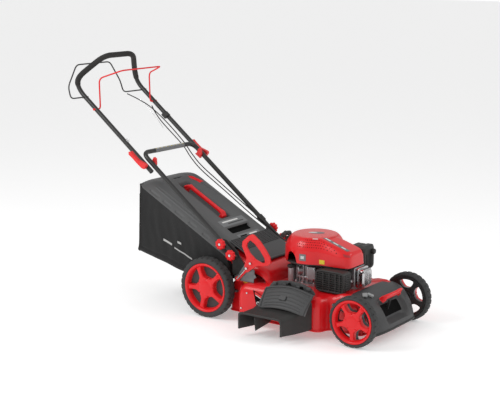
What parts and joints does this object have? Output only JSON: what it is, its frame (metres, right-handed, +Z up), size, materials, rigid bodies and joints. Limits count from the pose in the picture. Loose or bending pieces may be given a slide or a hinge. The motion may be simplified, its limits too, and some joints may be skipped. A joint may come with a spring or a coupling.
{
  "type": "lawn mower",
  "caption": "Petrol rotary lawn mower on spoked wheels, with a rear grass bag, a side discharge chute and a folding handle that carries control bails.",
  "frame": {"origin": "middle of the footprint, on the ground", "axes": "+X points forward, +Y to the mower's left, +Z up"},
  "size_m": [1.7874, 0.6646, 1.1697],
  "materials": {
    "red_paint": "gloss",
    "red_plastic": "satin",
    "rim_red": "satin",
    "tyre_rubber": "matte",
    "black_tube": "satin",
    "foam_grip": "matte",
    "black_plastic": "matte",
    "grey_plastic": "satin",
    "bag_fabric": "woven",
    "cast_aluminium": "cast",
    "bright_steel": "bright",
    "dark_steel": "dark",
    "cable_sheath": "matte"
  },
  "bodies": {
    "chassis": {"deck_shell": "red_paint", "discharge_tunnel": "red_paint", "front_cover": "grey_plastic", "front_grab_handle": "red_plastic", "side_flap_bracket": "black_plastic", "side_chute": "black_plastic", "height_quadrant": "dark_steel", "handle_bracket_left": "black_plastic", "handle_bracket_right": "black_plastic", "cam_clamp_left": "red_plastic", "cam_clamp_right": "red_plastic", "engine_block": "cast_aluminium", "valve_cover": "bright_steel", "muffler": "dark_steel", "muffler_guard": "black_plastic", "blower_shroud": "red_paint", "starter_cover": "red_paint", "air_filter_box": "black_plastic", "fuel_tank": "black_plastic", "gearbox": "cast_aluminium", "drive_belt": "tyre_rubber", "lower_handle": "black_tube", "engine_stop_cable": "cable_sheath", "drive_cable": "cable_sheath", "bag_fabric": "bag_fabric", "bag_lid": "grey_plastic", "bag_handle": "red_plastic"},
    "rear_axle": {"rear_axle": "dark_steel"},
    "front_axle": {"front_axle": "dark_steel"},
    "height_link_rod": {"height_link_rod": "dark_steel"},
    "height_lever": {"height_lever": "red_plastic"},
    "rear_left_wheel": {"rear_left_rim": "rim_red", "rear_left_tyre": "tyre_rubber"},
    "rear_right_wheel": {"rear_right_rim": "rim_red", "rear_right_tyre": "tyre_rubber"},
    "front_left_wheel": {"front_left_rim": "rim_red", "front_left_tyre": "tyre_rubber"},
    "front_right_wheel": {"front_right_rim": "rim_red", "front_right_tyre": "tyre_rubber"},
    "crank": {"crankshaft": "bright_steel", "flywheel": "cast_aluminium", "blade_adapter": "cast_aluminium", "cutting_blade": "dark_steel"},
    "gearbox_pulley": {"gearbox_pulley": "dark_steel"},
    "rear_flap": {"rear_flap": "grey_plastic"},
    "side_flap": {"side_flap": "black_plastic"},
    "upper_handle": {"upper_handle": "black_tube", "handle_grip": "foam_grip"},
    "engine_bail": {"engine_bail": "black_tube"},
    "drive_bail": {"drive_bail": "red_plastic"},
    "cam_lever_left": {"cam_lever_left": "red_plastic"},
    "cam_lever_right": {"cam_lever_right": "red_plastic"},
    "star_knob_left_1": {"star_knob_left_1": "red_plastic"},
    "star_knob_left_2": {"star_knob_left_2": "red_plastic"},
    "star_knob_right_1": {"star_knob_right_1": "red_plastic"},
    "star_knob_right_2": {"star_knob_right_2": "red_plastic"},
    "fuel_cap": {"fuel_cap": "black_plastic"},
    "oil_cap": {"oil_cap": "black_plastic"},
    "air_filter_knob": {"air_filter_knob": "black_plastic"},
    "starter_grip": {"starter_grip": "black_plastic"}
  },
  "joints": [
    {"name": "height_lever_swing", "type": "hinge", "parent": "chassis", "child": "height_lever", "pos_m": [0.15469, -0.1468, 0.196], "axis": [0, -1, 0], "range_deg": [0, 16]},
    {"name": "rear_axle_swing", "type": "hinge", "parent": "chassis", "child": "rear_axle", "pos_m": [0.13669, 0.0657, 0.13], "axis": [0, -1, 0], "range_deg": [0, 16]},
    {"name": "front_axle_swing", "type": "hinge", "parent": "chassis", "child": "front_axle", "pos_m": [0.64469, 0.0657, 0.15], "axis": [0, 1, 0], "range_deg": [0, 16]},
    {"name": "link_rod_swing", "type": "hinge", "parent": "rear_axle", "child": "height_link_rod", "pos_m": [0.13669, 0.2247, 0.165], "axis": [0, 1, 0], "range_deg": [0, 16]},
    {"name": "rear_left_wheel_spin", "type": "hinge", "parent": "rear_axle", "child": "rear_left_wheel", "pos_m": [0.00469, 0.3053, 0.14], "axis": [0, 1, 0], "continuous": true},
    {"name": "rear_right_wheel_spin", "type": "hinge", "parent": "rear_axle", "child": "rear_right_wheel", "pos_m": [0.00469, -0.1739, 0.14], "axis": [0, 1, 0], "continuous": true},
    {"name": "front_left_wheel_spin", "type": "hinge", "parent": "front_axle", "child": "front_left_wheel", "pos_m": [0.78169, 0.3098, 0.112], "axis": [0, 1, 0], "continuous": true},
    {"name": "front_right_wheel_spin", "type": "hinge", "parent": "front_axle", "child": "front_right_wheel", "pos_m": [0.78169, -0.1784, 0.112], "axis": [0, 1, 0], "continuous": true},
    {"name": "crank_spin", "type": "hinge", "parent": "chassis", "child": "crank", "pos_m": [0.43469, 0.0657, 0.108], "axis": [0, 0, 1], "continuous": true},
    {"name": "gearbox_pulley_spin", "type": "hinge", "parent": "chassis", "child": "gearbox_pulley", "pos_m": [0.17669, 0.0657, 0.108], "axis": [0, 0, 1], "continuous": true},
    {"name": "rear_flap_lift", "type": "hinge", "parent": "chassis", "child": "rear_flap", "pos_m": [0.22869, 0.0657, 0.266], "axis": [0, 1, 0], "range_deg": [0, 62], "stiffness_Nm_per_rad": 0.6, "springref_deg": -17.19},
    {"name": "side_flap_lift", "type": "hinge", "parent": "chassis", "child": "side_flap", "pos_m": [0.46469, -0.1743, 0.217], "axis": [-1, 0, 0], "range_deg": [0, 75], "stiffness_Nm_per_rad": 0.25, "springref_deg": -17.19},
    {"name": "upper_handle_fold", "type": "hinge", "parent": "chassis", "child": "upper_handle", "pos_m": [-0.35731, 0.0657, 0.66368], "axis": [0, 1, 0], "range_deg": [0, 130]},
    {"name": "engine_bail_squeeze", "type": "hinge", "parent": "upper_handle", "child": "engine_bail", "pos_m": [-0.74731, 0.0657, 0.96368], "axis": [0, 1, 0], "range_deg": [0, 44], "stiffness_Nm_per_rad": 3, "springref_deg": -28.65},
    {"name": "drive_bail_squeeze", "type": "hinge", "parent": "upper_handle", "child": "drive_bail", "pos_m": [-0.67931, 0.0657, 0.90959], "axis": [0, -1, 0], "range_deg": [0, 36], "stiffness_Nm_per_rad": 3, "springref_deg": -28.65},
    {"name": "cam_lever_left_release", "type": "hinge", "parent": "upper_handle", "child": "cam_lever_left", "pos_m": [-0.35731, 0.3032, 0.66368], "axis": [-0.6225, 0, -0.7826], "range_deg": [0, 70]},
    {"name": "cam_lever_right_release", "type": "hinge", "parent": "upper_handle", "child": "cam_lever_right", "pos_m": [-0.35731, -0.1718, 0.66368], "axis": [0.6225, 0, 0.7826], "range_deg": [0, 70]},
    {"name": "star_knob_left_1_turn", "type": "hinge", "parent": "chassis", "child": "star_knob_left_1", "pos_m": [0.05869, 0.2791, 0.343], "axis": [0, 1, 0], "continuous": true},
    {"name": "star_knob_left_2_turn", "type": "hinge", "parent": "chassis", "child": "star_knob_left_2", "pos_m": [0.11469, 0.2791, 0.29846], "axis": [0, 1, 0], "continuous": true},
    {"name": "star_knob_right_1_turn", "type": "hinge", "parent": "chassis", "child": "star_knob_right_1", "pos_m": [0.05869, -0.1477, 0.343], "axis": [0, -1, 0], "continuous": true},
    {"name": "star_knob_right_2_turn", "type": "hinge", "parent": "chassis", "child": "star_knob_right_2", "pos_m": [0.11469, -0.1477, 0.29846], "axis": [0, -1, 0], "continuous": true},
    {"name": "fuel_cap_turn", "type": "hinge", "parent": "chassis", "child": "fuel_cap", "pos_m": [0.39669, 0.2367, 0.339], "axis": [0, 0, 1], "continuous": true},
    {"name": "oil_cap_turn", "type": "hinge", "parent": "chassis", "child": "oil_cap", "pos_m": [0.36829, -0.0282, 0.263], "axis": [0, 0, 1], "continuous": true},
    {"name": "air_filter_knob_turn", "type": "hinge", "parent": "chassis", "child": "air_filter_knob", "pos_m": [0.66789, 0.1837, 0.33], "axis": [1, 0, 0], "continuous": true},
    {"name": "starter_grip_pull", "type": "slide", "parent": "chassis", "child": "starter_grip", "axis": [-0.7828, 0, 0.6222], "range_m": [0, 0.5], "stiffness_N_per_m": 30, "springref_m": -0.1}
  ],
  "couplings": [
    {"joint": "rear_axle_swing", "follows": "height_lever_swing", "ratio": 1},
    {"joint": "front_axle_swing", "follows": "height_lever_swing", "ratio": 1},
    {"joint": "link_rod_swing", "follows": "height_lever_swing", "ratio": 0.974},
    {"joint": "gearbox_pulley_spin", "follows": "crank_spin", "ratio": 1}
  ]
}
